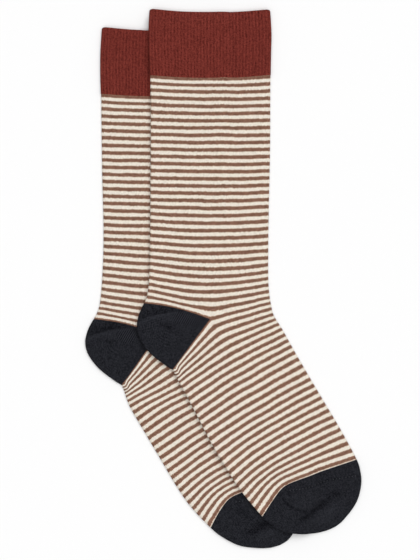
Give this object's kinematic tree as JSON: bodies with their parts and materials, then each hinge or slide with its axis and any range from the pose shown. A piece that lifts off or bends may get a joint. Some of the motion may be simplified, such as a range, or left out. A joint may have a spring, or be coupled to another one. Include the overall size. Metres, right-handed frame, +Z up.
{
  "type": "pair of crew socks",
  "caption": "Ribbed crew socks laid flat as a pair, one lying over the other, with heel pockets, toe caps and narrow stripes.",
  "frame": {"origin": "on the surface that the pair lies on, under the middle of its box", "axes": "+Y towards the cuffs, +X towards the side that the toes point to, +Z up out of the surface"},
  "size_m": [0.2074, 0.4044, 0.009],
  "materials": {
    "rib_knit": "rust red cotton rib knit, matt",
    "striped_knit": "fine cotton jersey knit in narrow brown and cream stripes, matt",
    "dark_knit": "dark navy cotton jersey knit, matt"
  },
  "bodies": {
    "root": {"lower_cuff": "rib_knit", "lower_leg": "striped_knit", "lower_heel": "dark_knit", "lower_foot": "striped_knit", "lower_toe": "dark_knit", "upper_cuff": "rib_knit", "upper_leg": "striped_knit", "upper_heel": "dark_knit", "upper_foot": "striped_knit", "upper_toe": "dark_knit"}
  },
  "joints": []
}
